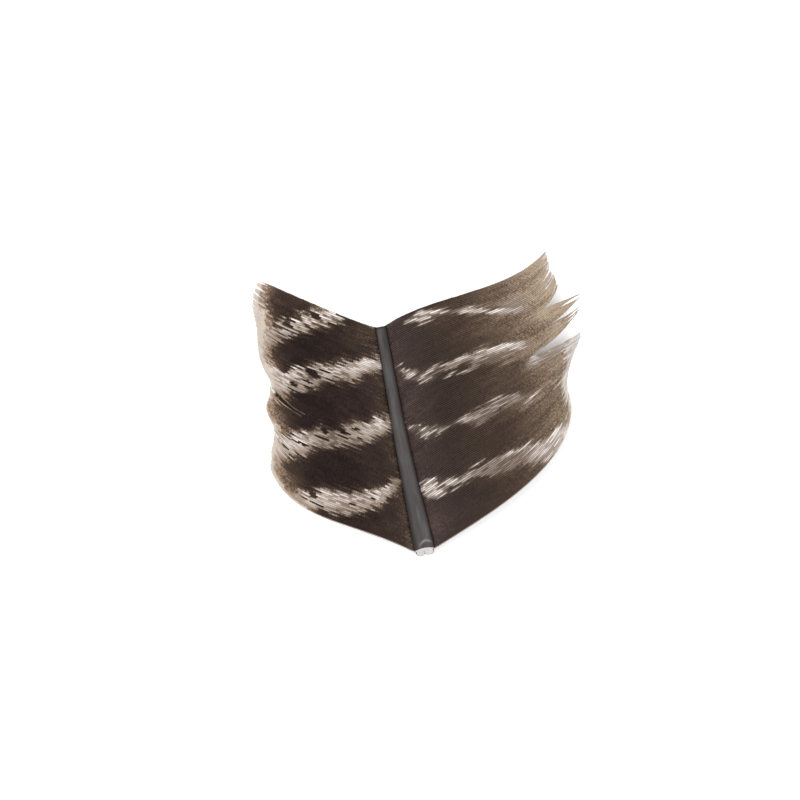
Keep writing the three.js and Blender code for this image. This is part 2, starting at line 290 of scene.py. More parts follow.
def right_tone(reach, height, _inset):
    top = 0.1 * smooth(36, 46, height) * smooth(6, 15, reach)
    lobe = 0.1 * smooth(49, 53, height) * smooth(26, 33, reach)
    return RIGHT_BROWN(reach) + top + lobe + 0.05 * smooth(12, 5, height)


# The CAD group is shifted so that its origin lies under its middle.
SHIFT = np.array([
    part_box("shaft")[0].x / MM + SHAFT_WIDTH(0) / 2,
    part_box("shaft")[0].y / MM - BASE_CUT_LOW,
    0.0,
])


def placed(points):
    """Millimetres in the feather's frame to metres in the row frame."""
    return (np.asarray(points, float) + SHIFT) * MM


# ---------------- shapes to start from

def unit_tube(sides, steps=1):
    """A closed straight tube, one long and one in radius, cut into steps along its length."""
    tube = bmesh.new()
    bmesh.ops.create_cone(tube, cap_ends=True, segments=sides, radius1=1, radius2=1, depth=1)
    if steps > 1:
        lengthwise = [e for e in tube.edges if abs(e.verts[0].co.z - e.verts[1].co.z) > 0.5]
        bmesh.ops.subdivide_edges(tube, edges=lengthwise, cuts=steps - 1)
    return tube


def new_piece(name, shape, material):
    """A piece with the mesh of a bmesh, which it frees."""
    mesh = bpy.data.meshes.new(name)
    shape.to_mesh(mesh)
    shape.free()
    mesh.materials.append(material)
    piece = bpy.data.objects.new(name, mesh)
    bpy.context.collection.objects.link(piece)
    return piece


# ---------------- barbs

BARBS = 116                 # in each vane
BARB_STEPS = 56
BARB_PITCH = (ROOT_HIGH - ROOT_LOW) / (BARBS - 1)
TIP_CROWDING = 0.35         # how much closer than even the steps are at a barb's tip
USUAL_LENGTH = 1.006        # of a barb, where 1 ends on the vane's outline
LONGEST = 1.016
ROOT_BURIED = 0.05          # how far past the groove's floor a barb's root goes
HALF_WIDTH = 0.54           # of a barb, in distances from one barb to the next
SPACING_LIMITS = (0.16, 0.7)                # what that distance is held within, in mm
DEPTH_AT_ROOT, DEPTH_AT_TIP = 1.25, 0.5     # what the section's heights are multiplied by
KEEL = 0.26
CLEARANCE = 0.02            # between a keel and the surface that the feather lies on
WELL_CLEAR = 6.0            # this far in or out of a bar is past the streaks of its edge
# Section of a barb, from the web under the barb before it, over the crest and the web on
# the barb after it, to the keel: [across, in half widths; up, mm].
BARB_SECTION = np.array([
    [-1.0, -0.03], [-0.45, 0.02], [0, 0.1], [0.45, 0.03],
    [1.15, 0.03], [0.4, -0.06], [0, -KEEL], [-0.4, -0.07],
])


def lock_of(vane, along):
    """The number of the lock that each barb is in, and where it stands in that lock, from 0 at
    the slit below it to 1 at the slit above."""
    slits = vane["slits"]
    bounds = np.array([0.0, *[slit["at"] for slit in slits], 1.0])
    lock = np.searchsorted(bounds[1:-1], along, side="left")
    share = (along - bounds[lock]) / (bounds[lock + 1] - bounds[lock])
    return lock, share


def barb_places(vane, along, out, lock, share):
    """Points of the barbs: along has a row a barb, and out a column a step."""
    side = vane["side"]
    station = ROOT_LOW + (ROOT_HIGH - ROOT_LOW) * along
    root = np.stack([
        SHAFT_BOW(station) + side * (GROOVE_FLOOR * SHAFT_WIDTH(station) / 2 + VANE_GAP),
        station,
        GROOVE_HEIGHT * SHAFT_DEPTH(station),
    ], axis=-1)
    tip = np.concatenate([vane["tips"](along), vane["edge_height"](along)[:, None]], axis=1)
    straight = np.hypot(*(tip - root)[:, :2].T)

    def handle(angle, reach):
        turn = np.radians(angle(along))
        across = np.stack([side * np.cos(turn), np.sin(turn), 0 * turn], axis=-1)
        return across * (reach(along) * straight)[:, None]

    leaving = root + handle(vane["root_angle"], vane["root_reach"])
    arriving = tip - handle(vane["tip_angle"], vane["tip_reach"])
    t = out[..., None]
    points = ((1 - t) ** 3 * root[:, None] + 3 * (1 - t) ** 2 * t * leaving[:, None]
              + 3 * (1 - t) * t**2 * arriving[:, None] + t**3 * tip[:, None])

    for number, slit in enumerate(vane["slits"]):
        widening = np.clip((out - slit["apex"]) / (1 - slit["apex"]), 0, None) ** slit["curve"]
        for lip, weight in (("above", (lock == number + 1) * (1 - share)),
                            ("below", (lock == number) * share)):
            points += widening[..., None] * weight[:, None, None] * np.array(slit[lip])

    power = math.log(0.5) / math.log(vane["crown"])
    rise = np.sin(np.pi * np.clip(out, 0, 1) ** power)
    points[..., 2] += vane["arch"](along)[:, None] * rise
    return points


def tufts(lock, largest):
    """Groups of neighbouring barbs whose tips cling together: each barb's offset from its
    tuft's middle, in barbs, and its tuft's number."""
    offset = np.zeros(len(lock))
    number = np.zeros(len(lock), int)
    start, tuft = 0, 0
    while start < len(lock):
        size = int(rng.integers(2, largest + 1))
        same = [i for i in range(start, min(start + size, len(lock))) if lock[i] == lock[start]]
        offset[same] = np.array(same) - np.mean(same)
        number[same] = tuft
        start, tuft = same[-1] + 1, tuft + 1
    return offset, number


def bar_fields(bars, reach, height):
    """How many millimetres a place is inside the nearest pale bar, below 0 outside it, how
    high it is on that bar, from -1 at its lower edge to 1 at its upper one, and the bar's
    strength there."""
    inside = np.full(reach.shape, -1.5 * WELL_CLEAR)
    high = np.zeros(reach.shape)
    glow = np.zeros(reach.shape)
    for stations in bars:
        centre, half, strength = np.moveaxis(profile(stations)(reach), -1, 0)
        offset = height - centre
        depth = half - np.abs(offset)
        depth -= np.maximum(stations[0][0] - reach, 0)
        if stations[-1][3] <= 0:
            depth -= np.maximum(reach - stations[-1][0], 0)
        nearer = depth > inside
        high = np.where(nearer, np.clip(offset / np.maximum(half, 0.2), -1, 1), high)
        glow = np.where(nearer, strength, glow)
        inside = np.maximum(inside, depth)
    return inside, high, glow


def edge_distance(vane, across, height):
    """How many millimetres a place is from the vane's outer edge, which is the barbs' tips
    and the outer end of the lowest barb."""
    places = np.stack([across, height], axis=-1)
    lowest_end = places[0, -vane["edge_steps"]:]
    outline = np.concatenate([lowest_end, vane["tips"](np.linspace(0, 1, 160))])
    gaps = places[..., None, :] - outline
    return np.sqrt((gaps**2).sum(-1).min(-1))


def barb_tube(mirrored):
    """The straight tube that every barb is bent from, as a mesh, and for each of its vertices
    the corner of the section and the step that it stands for. Its UV map runs from root to
    tip and round the section."""
    sides = len(BARB_SECTION)
    tube = unit_tube(sides, BARB_STEPS)
    if mirrored:
        bmesh.ops.reverse_faces(tube, faces=tube.faces)

    def corner(vert):
        turn = math.atan2(vert.co.y, vert.co.x) / math.tau
        return round(turn * sides) % sides, round((vert.co.z + 0.5) * BARB_STEPS)

    corners = np.array([corner(vert) for vert in tube.verts])
    layer = tube.loops.layers.uv.new("OFBake")
    for face in tube.faces:
        rounds = [corner(loop.vert)[0] for loop in face.loops]
        wraps = len(face.loops) == 4 and 0 in rounds and sides - 1 in rounds
        for loop, at in zip(face.loops, rounds):
            loop[layer].uv = (
                corner(loop.vert)[1] / BARB_STEPS,
                (sides if wraps and at == 0 else at) / sides,
            )
        face.smooth = True
    mesh = bpy.data.meshes.new("barb_tube")
    tube.to_mesh(mesh)
    tube.free()
    return mesh, corners


def barb_courses(vane):
    """Where the barbs of a vane run, as arrays with a row a barb and a column a step.

    place, across and up are each step's middle and its section's two directions, and half
    and depth are the section's sizes. out is the share of the barb's length, reach and height
    are the distance from the shaft and up it, and strand is [mm along the barb, mm across the
    vane, a number of the barb's own].
    """
    side = vane["side"]
    index = np.arange(BARBS)
    along = index / (BARBS - 1)
    lock, share = lock_of(vane, along)
    offset, tuft = tufts(lock, vane["largest_tuft"])
    tuft_count = tuft.max() + 1

    step = np.linspace(0, 1, BARB_STEPS + 1)
    step = step * (1 + TIP_CROWDING - TIP_CROWDING * step)
    length = USUAL_LENGTH + rng.uniform(-0.006, 0.005, tuft_count)[tuft]
    length += rng.normal(0, 0.003, BARBS)
    out = step[None, :] * np.minimum(length, LONGEST)[:, None]
    to_tip = length[:, None] - out

    # A barb's section lies square to it, towards where the next barb would run.
    place = barb_places(vane, along, out, lock, share)
    nudge = np.where(along < 0.5, 0.25, -0.25) / BARBS
    nudged = barb_places(vane, along + nudge, out, lock, share)
    spread = (nudged - place) / (nudge * (BARBS - 1))[:, None, None]
    heading = unit(np.gradient(place, axis=1))
    across = spread - (spread * heading).sum(-1, keepdims=True) * heading
    spacing = np.linalg.norm(across, axis=-1)
    across = unit(across)
    up = unit(np.cross(heading, across)) * side

    reach = side * (place[..., 0] - SHAFT_BOW(place[..., 1]))
    height = place[..., 1].copy()

    # The tips cling together in tufts, which lift unevenly.
    fray = vane["fray"](along)[:, None]
    cling = fray * smooth(0.84, 1, out) * (0.3 + 0.4 * rng.random(tuft_count)[tuft][:, None])
    place = place - across * (offset[:, None] * spacing * cling)[..., None]
    lift = rng.normal(0, 0.2, tuft_count)[tuft][:, None] * smooth(0.8, 1, out) * fray
    lift += rng.normal(0, 0.012, BARBS)[:, None]
    place[..., 2] += lift
    place[:, 0, 0] -= side * (VANE_GAP + ROOT_BURIED)

    # A barb narrows where its tuft frays, widens on a slit's lip and tapers at its tip.
    half = np.clip(spacing, *SPACING_LIMITS) * HALF_WIDTH
    half *= 1 - 0.55 * fray * smooth(0.86, 0.98, out)
    on_lip = np.min([abs(index - slit["at"] * (BARBS - 1)) for slit in vane["slits"]], axis=0) < 1
    half += vane["cover"] * on_lip[:, None] * smooth(0.68, 0.8, out) * smooth(1, 0.94, out)
    half *= np.clip(to_tip / 0.012, 0.06, 1)
    half *= 1 + 0.08 * rng.standard_normal(out.shape)
    depth = DEPTH_AT_ROOT + (DEPTH_AT_TIP - DEPTH_AT_ROOT) * out
    depth *= np.clip(to_tip / 0.02, 0.15, 1)
    place[..., 2] = np.maximum(place[..., 2], KEEL * depth + CLEARANCE)

    steps = np.diff(place, axis=1, prepend=place[:, :1])
    strand = np.empty_like(place)
    strand[..., 0] = np.cumsum(np.linalg.norm(steps, axis=-1), axis=1)
    strand[..., 1] = index[:, None] * BARB_PITCH
    strand[..., 2] = rng.random(BARBS)[:, None]
    return {
        "place": place, "across": across, "up": up, "half": half, "depth": depth,
        "out": out, "reach": reach, "height": height, "strand": strand,
    }


def cut_dashes(dashes, course, bar):
    """Takes short stretches of single barbs out of the bars."""
    index = np.arange(BARBS)[:, None]
    length = course["strand"][..., 0]
    for distance, level, half_length, half_width, darkness in dashes:
        gap = np.hypot(course["reach"] - distance, course["height"] - level)
        barb, step = np.unravel_index(gap.argmin(), gap.shape)
        away = np.hypot((index - barb) / half_width,
                        (length - length[barb, step]) / half_length)
        bar -= WELL_CLEAR * darkness * smooth(1.4, 0.5, away)


def barb_marks(vane, bars, dashes, tone, course):
    """What the barbs' material reads at each step of each barb."""
    reach, height, out = course["reach"], course["height"], course["out"]
    bar, high, glow = bar_fields(bars, reach, height)
    cut_dashes(dashes, course, bar)
    inset = edge_distance(vane, vane["side"] * reach + SHAFT_BOW(height), height)
    lightness = tone(reach, height, inset)
    for barb, start, end, pale in vane["strays"]:
        part = (out[barb] > start) & (out[barb] < end)
        bar[barb, part] = 1.5 * WELL_CLEAR * pale
        glow[barb, part] = pale
        lightness[barb, part] += min(pale, 0)
    return {
        "bar": bar,
        "high": high,
        "glow": glow,
        "tone": lightness,
        "inset": inset,
        "rim": vane["rim"](height),
        "broken": vane["broken"](reach) * vane["broken_up"](height),
        "comb": vane["comb"](reach),
    }


def add_numbers(mesh, name, values):
    """Gives each vertex a number, or three where the values have three columns."""
    three = values.ndim == 3
    layer = mesh.attributes.new(name, "FLOAT_VECTOR" if three else "FLOAT", "POINT")
    layer.data.foreach_set("vector" if three else "value", values.astype(np.float32).ravel())


def barbs(name, vane, bars, dashes, tone, material):
    """One vane: every barb as a ribbon with a crest, a keel and a web on each side."""
    course = barb_courses(vane)
    tube, corners = barb_tube(mirrored=vane["side"] > 0)
    ring, at = corners.T
    wide = course["half"][:, at] * BARB_SECTION[ring, 0]
    high = course["depth"][:, at] * BARB_SECTION[ring, 1]
    coords = (course["place"][:, at] + course["across"][:, at] * wide[..., None]
              + course["up"][:, at] * high[..., None])

    joined = bmesh.new()
    for _ in range(BARBS):
        joined.from_mesh(tube)
    piece = new_piece(name, joined, material)
    mesh = piece.data
    mesh.vertices.foreach_set("co", placed(coords).astype(np.float32).ravel())

    # Each barb has its own band of the map, with a margin round it.
    uv = np.empty(len(mesh.loops) * 2, np.float32)
    layer = mesh.uv_layers["OFBake"]
    layer.data.foreach_get("uv", uv)
    uv = uv.reshape(BARBS, len(tube.loops), 2)
    uv[..., 0] = 0.004 + 0.992 * uv[..., 0]
    uv[..., 1] = (np.arange(BARBS)[:, None] + 0.05 + 0.9 * uv[..., 1]) / BARBS
    layer.data.foreach_set("uv", uv.ravel())

    for mark, values in barb_marks(vane, bars, dashes, tone, course).items():
        add_numbers(mesh, mark, values[:, at])
    add_numbers(mesh, "strand", course["strand"][:, at])
    add_numbers(mesh, "round", np.tile(BARB_SECTION[ring, 0], (BARBS, 1)))
    bpy.data.meshes.remove(tube)
    mesh.update()
    return piece


# ---------------- materials

def shade(red, green, blue):
    """A colour given as 0 to 255 on a screen, as the linear numbers that a shader takes."""
    def linear(value):
        value /= 255
        return value / 12.92 if value <= 0.04045 else ((value + 0.055) / 1.055) ** 2.4
    return (linear(red), linear(green), linear(blue), 1.0)


class Finish:
    """A material and short ways to add nodes to it."""

    def __init__(self, name):
        self.material = bpy.data.materials.new(name)
        self.material.use_nodes = True
        self.tree = self.material.node_tree
        self.shader = self.tree.nodes["Principled BSDF"]

    def node(self, kind, **settings):
        made = self.tree.nodes.new(kind)
        for name, value in settings.items():
            setattr(made, name, value)
        return made

    def feed(self, socket, value):
        if isinstance(value, bpy.types.NodeSocket):
            self.tree.links.new(value, socket)
        else:
            socket.default_value = value

    def attribute(self, name):
        return self.node("ShaderNodeAttribute", attribute_name=name)

    def math(self, operation, *values, clamp=False):
        made = self.node("ShaderNodeMath", operation=operation, use_clamp=clamp)
        for socket, value in zip(made.inputs, values):
            self.feed(socket, value)
        return made.outputs[0]

    def step(self, value, low, high, to_low=0.0, to_high=1.0):
        made = self.node("ShaderNodeMapRange", interpolation_type="SMOOTHSTEP")
        for name, number in zip(("Value", "From Min", "From Max", "To Min", "To Max"),
                                (value, low, high, to_low, to_high)):
            self.feed(made.inputs[name], number)
        return made.outputs["Result"]

    def stretched(self, vector, scale):
        made = self.node("ShaderNodeMapping")
        self.feed(made.inputs["Vector"], vector)
        made.inputs["Scale"].default_value = scale
        return made.outputs["Vector"]

    def noise(self, vector, scale, detail, roughness=0.5):
        made = self.node("ShaderNodeTexNoise")
        self.feed(made.inputs["Vector"], vector)
        made.inputs["Scale"].default_value = scale
        made.inputs["Detail"].default_value = detail
        made.inputs["Roughness"].default_value = roughness
        return made.outputs["Fac"]

    def mix(self, factor, first, second, blend="MIX"):
        made = self.node("ShaderNodeMix", data_type="RGBA", blend_type=blend)
        self.feed(made.inputs["Factor"], factor)
        self.feed(made.inputs[6], first)
        self.feed(made.inputs[7], second)
        return made.outputs[2]

    def ramp(self, factor, stops):
        made = self.node("ShaderNodeValToRGB")
        self.feed(made.inputs["Fac"], factor)
        elements = made.color_ramp.elements
        while len(elements) < len(stops):
            elements.new(0.5)
        for element, (place, colour) in zip(elements, stops):
            element.position = place
            element.color = colour
        return made.outputs["Color"]

    def bump(self, height, strength, distance):
        made = self.node("ShaderNodeBump")
        self.feed(made.inputs["Height"], height)
        made.inputs["Strength"].default_value = strength
        made.inputs["Distance"].default_value = distance
        self.feed(self.shader.inputs["Normal"], made.outputs["Normal"])

    def surface(self, colour, roughness, specular):
        self.feed(self.shader.inputs["Base Color"], colour)
        self.feed(self.shader.inputs["Roughness"], roughness)
        self.shader.inputs["Specular IOR Level"].default_value = specular


class BarbFinish(Finish):
    """Brown barbs crossed by pale bars that are drawn out along them, with a pale rim. It
    reads the barbs' marks and the place along and across them."""

    BROWNS = [
        (0.0, shade(29, 19, 17)), (0.12, shade(45, 33, 30)), (0.38, shade(63, 50, 43)),
        (0.58, shade(91, 75, 63)), (0.78, shade(129, 111, 96)), (1.0, shade(170, 153, 136)),
    ]

    def __init__(self, name, look):
        super().__init__(name)
        self.look = look
        self.strand = self.attribute("strand").outputs["Vector"]
        self.place = self.node("ShaderNodeSeparateXYZ")
        self.feed(self.place.inputs[0], self.strand)
        self.round = self.mark("round")
        self.off_crest = self.math("ABSOLUTE", self.round)
        self.barb_streak = self.streak(1.0, look["barb"])
        self.tuft_streak = self.streak(1.3, 1.3)
        self.patch = self.streak(1.8, 4.0)
        self.grain = self.streak(0.1, 0.21, 1.0)

    def mark(self, name):
        return self.attribute(name).outputs["Fac"]

    def streak(self, along, across, detail=0.0):
        """Noise about 0 that is drawn out along the barbs, with its size in mm."""
        scale = (1 / (along * self.look["streak"]), 1 / across, 0.0)
        value = self.noise(self.stretched(self.strand, scale), 1.0, detail)
        return self.math("SUBTRACT", value, 0.5)

    def ragged(self, field, weights):
        """A field with so much of each streak added to it."""
        streaks = (self.barb_streak, self.tuft_streak, self.patch, self.grain)
        for streak, weight in zip(streaks, weights):
            field = self.math("MULTIPLY_ADD", streak, weight, field)
        return field

    def pale_bars(self, inside):
        """How pale a place in a bar is. Single dark barbs and larger dark dashes break it."""
        dash = self.streak(0.75, 0.9 * self.look["barb"])
        clump = self.streak(0.9, 0.85)
        body = self.step(inside, *self.look["fade"])
        single = self.step(dash, -0.09, 0.02, -1.0, 0.0)
        clumped = self.math("MULTIPLY_ADD", dash, 0.5, clump)
        clumped = self.step(clumped, -0.16, -0.04, -1.0, 0.0)
        level = self.math("MULTIPLY",
                          self.math("MULTIPLY_ADD", single, self.mark("comb"), 1.0),
                          self.math("MULTIPLY_ADD", clumped, self.mark("broken"), 1.0))
        upper = self.math("MULTIPLY_ADD", self.mark("high"), 0.1, 0.9, clamp=True)
        return self.math("MULTIPLY", self.math("MULTIPLY", body, self.mark("glow")),
                         self.math("MULTIPLY", level, upper))

    def white(self):
        """The pale barbs of a bar, browner along its lower edge."""
        white = self.ramp(self.math("MULTIPLY_ADD", self.barb_streak, 2.0, 0.5), [
            (0.2, self.look["cream"]), (0.8, self.look["white"]),
        ])
        low = self.step(self.mark("high"), -0.9, 0.0, self.look["fringe"], 0.0)
        return self.mix(low, white, shade(146, 122, 98))

    def brown(self, inside):
        """The brown between the bars, with light curled barbules where it is worn. It is
        lilac beside the shaft and olive further out."""
        halo = self.step(inside, -1.6, 0.2, 0.0, self.look["halo"])
        tone = self.math("ADD", self.mark("tone"), halo)
        spread = self.math("MULTIPLY_ADD", tone, 1.5, 0.6)
        stain = self.ragged(0.0, self.look["stain"])
        brown = self.ramp(self.math("MULTIPLY_ADD", stain, spread, tone), self.BROWNS)
        curl = self.streak(0.07, 0.5)
        worn = self.math("MULTIPLY", self.step(curl, 0.04, 0.2),
                         self.step(tone, 0.45, 0.8, 0.0, 0.35))
        brown = self.mix(worn, brown, shade(189, 173, 158))
        cast = self.mix(self.step(self.place.outputs["X"], 1.0, 16.0),
                        self.look["cast_near"], self.look["cast"])
        return self.mix(1.0, brown, cast, "MULTIPLY")

    def rim(self, colour, pale, white):
        """The outer edge: mottled rufous and then pale outwards, with a thin light line along
        it and along the lowest barb."""
        look = self.look
        inset, width = self.mark("inset"), self.mark("rim")
        margin = self.ragged(self.math("SUBTRACT", inset, width), look["rim_ragged"])
        mottle = self.math("MULTIPLY_ADD", self.grain, 1.2, self.barb_streak)
        rufous = self.math("MULTIPLY", self.step(margin, 0.3, 2.8, look["rufous"], 0.0),
                           self.step(mottle, -0.06, 0.2))
        colour = self.mix(rufous, colour, self.mix(pale, shade(150, 114, 86), white))
        edge = self.ramp(self.math("MULTIPLY_ADD", self.barb_streak, 2.0, 0.5), [
            (0.1, look["rim_low"]), (0.45, look["rim"]),
        ])
        colour = self.mix(self.step(margin, -0.3, 0.5, 0.92, 0.0), colour, edge)
        line = self.math("MULTIPLY_ADD", width, -0.6, inset)
        line = self.step(line, 0.0, 0.5, look["outline"], 0.0)
        colour = self.mix(line, colour, look["rim"])
        lowest = self.math("MULTIPLY_ADD", self.place.outputs["Y"], 5.0, self.round)
        lowest = self.step(lowest, -0.6, 0.3, 0.85, 0.0)
        return self.mix(lowest, colour, shade(186, 173, 161))

    def web_shade(self, colour, pale):
        """Painted shade: each barb is darkened where its web dips under the next crest, and most in
        a bar.
        """
        valley_shade = self.step(self.off_crest, 0.2, 1.0, 0.0, 0.4)
        valley_shade = self.math("MULTIPLY_ADD", self.math("MULTIPLY", valley_shade, pale), 0.9, valley_shade)
        shaded = self.mix(1.0, colour, (0.45, 0.42, 0.4, 1), "MULTIPLY")
        return self.mix(valley_shade, colour, shaded)

    def barbules(self):
        """Fine ridges that slant across each barb's two webs."""
        slanted = self.node("ShaderNodeVectorMath", operation="MULTIPLY_ADD")
        self.feed(slanted.inputs[0], self.off_crest)
        slanted.inputs[1].default_value = (0.35, 0, 0)
        self.feed(slanted.inputs[2], self.strand)
        hatch = self.node("ShaderNodeTexWave", wave_type="BANDS", bands_direction="X")
        self.feed(hatch.inputs["Vector"], slanted.outputs[0])
        hatch.inputs["Scale"].default_value = 2.4
        self.bump(hatch.outputs["Fac"], 0.25, 0.00004)


def barb_finish(name, look):
    finish = BarbFinish(name, look)
    inside = finish.ragged(finish.mark("bar"), look["ragged"])
    pale = finish.pale_bars(inside)
    white = finish.white()
    colour = finish.mix(finish.step(pale, 0.0, 0.5), finish.brown(inside), look["half"])
    colour = finish.mix(finish.step(pale, 0.3, 0.9), colour, white)
    # Painted shade in the valleys between the barbs' crests.
    colour = finish.web_shade(finish.rim(colour, pale, white), pale)
    finish.barbules()
    finish.surface(colour, finish.step(finish.barb_streak, -0.2, 0.2, 0.55, 0.7), 0.12)
    return finish.material


# ---------------- quill

QUILL_SIDES = 72
QUILL_STEPS = 160
QUILL_LINES = ((23, 0.012, 0.1), (31, 0.010, 0.55), (13, 0.014, 0.8))  # [count, height, phase]
WALL = 0.2                # the horny wall round the pith
RECESS = 0.6              # how deep the wall's inner face goes at a cut
# Radii, on the straight tube, of the rings inside and below the wall's edge at a cut.
WALL_RING, INNER_RING = 0.8, 0.6
PITH_ROUGHNESS = 0.035


def section(turn):
    """The shaft's section at a turn clockwise from the top, as fractions of half the width
    and of the depth."""
    half = np.array(HALF_SECTION)
    whole = np.concatenate([half, half[-2:0:-1] * [-1, 1]])
    count = len(whole)
    place = np.asarray(turn) * count
    low = np.floor(place).astype(int) % count
    share = (place - np.floor(place))[..., None]
    return whole[low] * (1 - share) + whole[(low + 1) % count] * share


def quill_places(turn, up, inset):
    """Points `inset` millimetres inside the shaft's surface."""
    across, high = np.moveaxis(section(turn), -1, 0)
    station = up * SHAFT_LENGTH
    width, depth = SHAFT_WIDTH(station), SHAFT_DEPTH(station)
    across = across * (1 - 2 * inset / width)
    high = SECTION_CENTRE + (high - SECTION_CENTRE) * (1 - 2 * inset / depth)
    low_cut = BASE_CUT_LOW + BASE_CUT_SLANT * high
    return np.stack([
        SHAFT_BOW(station) + across * width / 2,
        low_cut + (SHAFT_LENGTH - low_cut) * up,
        high * depth,
    ], axis=-1)


def on_tube(shape):
    """Where the vertices of a straight tube stand: the turn clockwise from its y axis, the
    share of its length and the distance from its axis."""
    co = np.array([vert.co for vert in shape.verts])
    turn = (np.arctan2(co[:, 0], co[:, 1]) / math.tau) % 1.0
    return turn, co[:, 2] + 0.5, np.hypot(co[:, 0], co[:, 1])


def quill(material):
    """The horny shaft: fine lengthwise lines, and a rim round the pith at each cut."""
    tube = unit_tube(QUILL_SIDES, QUILL_STEPS)
    ends = [face for face in tube.faces if len(face.verts) == QUILL_SIDES]
    for end in ends:
        for shrink in (WALL_RING, INNER_RING / WALL_RING):
            end = bmesh.ops.extrude_discrete_faces(tube, faces=[end])["faces"][0]
            bmesh.ops.scale(tube, vec=(shrink, shrink, 1), verts=end.verts[:])
    # The tube's y becomes the shaft's up and its z the shaft's length, which mirrors it.
    bmesh.ops.reverse_faces(tube, faces=tube.faces)

    turn, up, size = on_tube(tube)
    outside = size > (1 + WALL_RING) / 2
    recessed = size < (WALL_RING + INNER_RING) / 2
    points = quill_places(turn, up, np.where(outside, 0.0, WALL))
    lines = sum(
        amount * np.sin(math.tau * (count * turn + phase + 0.3 * np.sin(3 * up + phase)))
        for count, amount, phase in QUILL_LINES)
    upper = smooth(0.45, 0.7, points[:, 2] / SHAFT_DEPTH(up * SHAFT_LENGTH))
    outwards = unit(points - quill_places(turn, up, 1.0))
    points += outwards * (lines * upper * outside)[:, None]
    points[:, 1] += RECESS * recessed * np.sign(0.5 - up)

    across = tube.verts.layers.float.new("across")
    along = tube.verts.layers.float.new("along")
    cut = tube.verts.layers.float.new("cut")
    for vert, point, place, side, skin in zip(
            tube.verts, points, placed(points), section(turn)[:, 0], outside):
        vert.co = Vector(place)
        vert[across] = side
        vert[along] = point[1]
        vert[cut] = float(not skin)
    for face in tube.faces:
        face.smooth = not any(vert[cut] for vert in face.verts)
        if not face.smooth:
            for edge in face.edges:
                edge.smooth = False
    return new_piece("quill", tube, material)


def quill_finish():
    """Grey horn with soft lengthwise streaks and dark borders along both sides. Painted shade
    darkens its rounded sides away from a painted highlight line and darkens the top cut, and a
    painted highlight lies on a crease at the base.
    """
    finish = Finish("quill")
    across = finish.attribute("across").outputs["Fac"]
    along = finish.attribute("along").outputs["Fac"]
    place = finish.node("ShaderNodeTexCoord").outputs["Object"]
    lines = finish.noise(finish.stretched(place, (1900, 90, 300)), 1.0, 3.0, 0.6)
    broad = finish.noise(finish.stretched(place, (700, 160, 300)), 1.0, 2.0)
    mixed = finish.math("MULTIPLY_ADD", broad, 0.6, finish.math("MULTIPLY", lines, 0.4))
    mixed = finish.math("MULTIPLY_ADD", along, -0.0014, mixed)
    mixed = finish.math("ADD", mixed, finish.step(along, 0.5, 4.0, -0.07, 0.0))
    colour = finish.ramp(mixed, [
        (0.22, shade(44, 40, 38)), (0.44, shade(62, 59, 58)), (0.7, shade(85, 83, 83)),
    ])
    # The lightest line, a painted highlight, is right of the middle at the base and left of it
    # higher up.
    lean = finish.step(along, 6.0, 22.0, -0.12, 0.12)
    off_highlight = finish.math("ABSOLUTE", finish.math("ADD", across, lean))

    # A painted highlight along a crease where the quill was bent at its base.
    away = finish.math("ABSOLUTE", finish.math("SUBTRACT", across, 0.3))
    height = finish.math("MULTIPLY_ADD", away, 1.3, along)
    height = finish.math("MULTIPLY_ADD", lines, 0.8, height)
    off = finish.math("ABSOLUTE", finish.math("SUBTRACT", height, 3.3))
    near = finish.math("MULTIPLY", finish.step(off, 0.0, 0.5, 0.6, 0.0),
                       finish.step(away, 0.3, 0.9, 1.0, 0.0))
    colour = finish.mix(near, colour, shade(134, 131, 129))

    # Dark borders along both sides, with painted shade spreading over the rounded sides away from
    # the highlight line.
    side = finish.step(finish.math("MULTIPLY_ADD", broad, 0.12, off_highlight), 0.46, 1.12, 0.0, 0.85)
    colour = finish.mix(side, colour, shade(38, 29, 26))
    # Painted shade: the quill darkens to near black at its top cut.
    colour = finish.mix(finish.step(along, 50.0, 50.7, 0.0, 0.85), colour, shade(24, 20, 20))
    cut = finish.step(finish.attribute("cut").outputs["Fac"], 0.0, 0.15)
    colour = finish.mix(cut, colour, shade(150, 144, 138))
    finish.bump(lines, 0.2, 0.00006)
    finish.surface(colour, finish.step(lines, 0.3, 0.7, 0.42, 0.56), 0.25)
    return finish.material


def pith_finish():
    finish = Finish("pith")
    place = finish.node("ShaderNodeTexCoord").outputs["Object"]
    grain = finish.noise(place, 5200, 3.0, 0.7)
    colour = finish.ramp(grain, [(0.3, shade(184, 180, 177)), (0.7, shade(226, 224, 223))])
    finish.bump(grain, 0.6, 0.00012)
    finish.surface(colour, 0.9, 0.2)
    return finish.material


def pith_plug(name, up_low, up_high, material):
    """Pith that fills the shaft's end, with a slightly crumbled face."""
    plug = unit_tube(QUILL_SIDES)
    ends = [face for face in plug.faces if len(face.verts) == QUILL_SIDES]
    bmesh.ops.poke(plug, faces=ends)
    spokes = [e for e in plug.edges if min(v.co.xy.length for v in e.verts) < 0.5]
    bmesh.ops.subdivide_edges(plug, edges=spokes, cuts=8, use_grid_fill=True)
    turn, up, size = on_tube(plug)
    up = up_low + (up_high - up_low) * up
    # The pith reaches a little into the wall, so that no gap shows.
    rim = quill_places(turn, up, 0.9 * WALL)
    low_cut = BASE_CUT_LOW + BASE_CUT_SLANT * SECTION_CENTRE
    middle = np.stack([
        SHAFT_BOW(up * SHAFT_LENGTH),
        low_cut + (SHAFT_LENGTH - low_cut) * up,
        SECTION_CENTRE * SHAFT_DEPTH(up * SHAFT_LENGTH),
    ], axis=-1)
    points = middle + (rim - middle) * np.minimum(size, 1)[:, None]
    points[:, 1] += rng.normal(0, PITH_ROUGHNESS, len(points)) * (size < 0.93)
    for vert, place in zip(plug.verts, placed(points)):
        vert.co = Vector(place)
    bmesh.ops.recalc_face_normals(plug, faces=plug.faces)
    return new_piece(name, plug, material)


# ---------------- the feather

